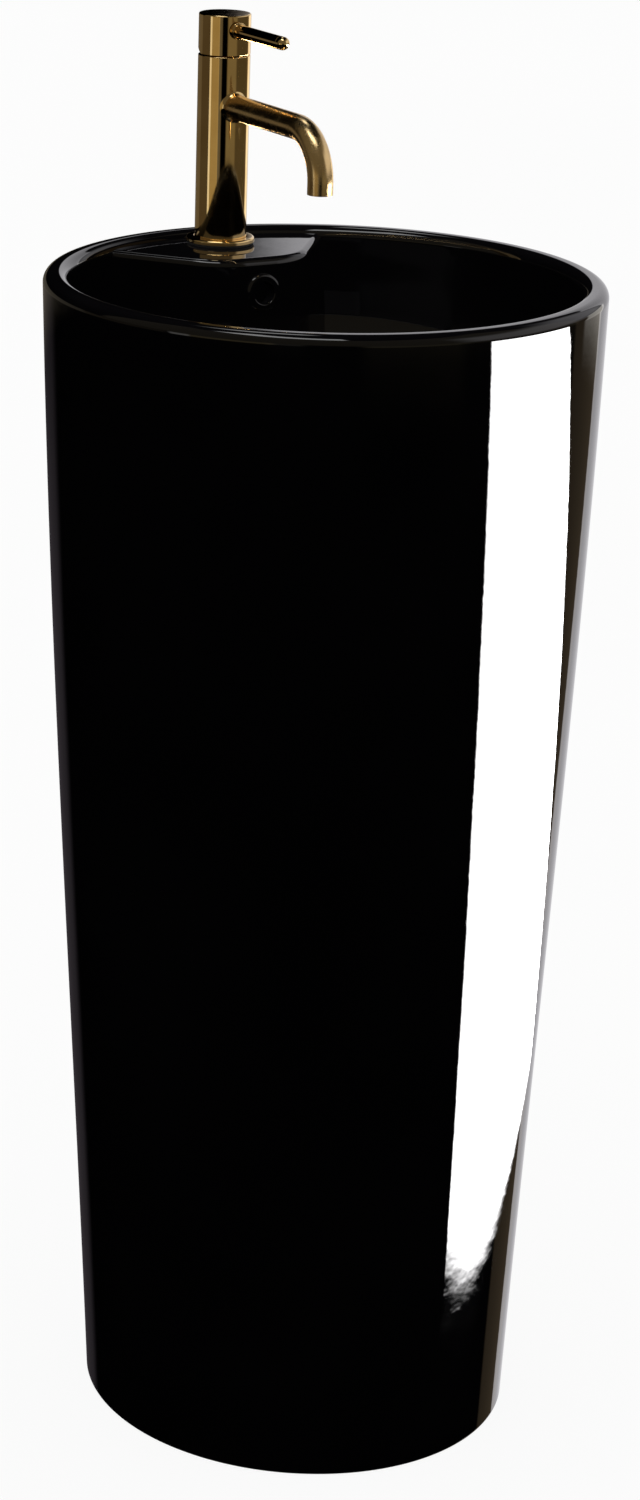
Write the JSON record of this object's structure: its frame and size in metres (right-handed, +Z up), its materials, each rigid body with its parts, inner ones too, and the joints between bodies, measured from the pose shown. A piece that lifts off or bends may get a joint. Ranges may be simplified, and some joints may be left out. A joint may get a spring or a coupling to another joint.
{
  "type": "pedestal sink",
  "caption": "Round one-piece black ceramic pedestal basin with a brass-coloured single-lever mixer tap, a pop-up waste and a bottle trap inside.",
  "frame": {"origin": "centre of the foot, on the floor", "axes": "+Z up, -Y towards the user, +Y towards the wall and the tap, +X to the right seen from the front"},
  "size_m": [0.3952, 0.3954, 1.0117],
  "materials": {
    "black_glaze": "high gloss black glaze",
    "black_ring": "glossy black",
    "gold_brass": "polished gold-coloured coating",
    "plain_brass": "turned, unpolished",
    "rubber": "matt black",
    "steel": "zinc plated or stainless",
    "white_plastic": "moulded",
    "red_plastic": "moulded",
    "alumina": "lapped",
    "chromed": "polished"
  },
  "bodies": {
    "basin": {"ceramic_basin": "black_glaze", "overflow_ring": "black_ring", "tap_body": "gold_brass", "tap_flange": "gold_brass", "tap_spout": "gold_brass", "aerator_housing": "gold_brass", "cartridge_dome": "gold_brass", "drain_body": "gold_brass", "stud_nut": "plain_brass", "cartridge_nut": "plain_brass", "drain_backnut": "plain_brass", "tap_base_gasket": "rubber", "clamp_rubber_washer": "rubber", "cartridge_base_seal": "rubber", "drain_gasket": "rubber", "drain_lower_washer": "rubber", "tailpiece_gasket": "rubber", "trap_inlet_seal": "rubber", "trap_outlet_seal": "rubber", "trap_cup_seal": "rubber", "mounting_stud": "steel", "clamp_plate": "steel", "click_cartridge": "steel", "aerator_insert": "white_plastic", "cartridge_housing": "white_plastic", "fixed_disc": "alumina", "drain_tailpiece": "chromed", "tailpiece_nut": "chromed", "trap_head": "chromed", "trap_inlet_nut": "chromed", "trap_outlet_nut": "chromed", "trap_outlet_pipe": "chromed", "trap_cup": "chromed"},
    "handle_swivel": {"cartridge_carrier": "red_plastic", "stem_pin": "steel"},
    "handle": {"handle_cap": "gold_brass", "handle_lever": "gold_brass", "handle_set_screw": "steel", "cartridge_stem": "steel"},
    "disc": {"moving_disc": "alumina"},
    "plug": {"plug_cap": "gold_brass", "plug_seal": "rubber"}
  },
  "joints": [
    {"name": "handle_turn", "type": "hinge", "parent": "basin", "child": "handle_swivel", "pos_m": [0, 0.154, 0.9829], "axis": [0, 0, 1], "range_deg": [-45, 45]},
    {"name": "handle_lift", "type": "hinge", "parent": "handle_swivel", "child": "handle", "pos_m": [0, 0.154, 0.9829], "axis": [-1, 0, 0], "range_deg": [0, 24]},
    {"name": "disc_shift", "type": "slide", "parent": "handle_swivel", "child": "disc", "axis": [0, -1, 0], "range_m": [0, 0.0035]},
    {"name": "plug_rise", "type": "slide", "parent": "basin", "child": "plug", "axis": [0, 0, 1], "range_m": [0, 0.008]}
  ],
  "couplings": [
    {"joint": "disc_shift", "follows": "handle_lift", "m_per_rad": 0.0081}
  ]
}
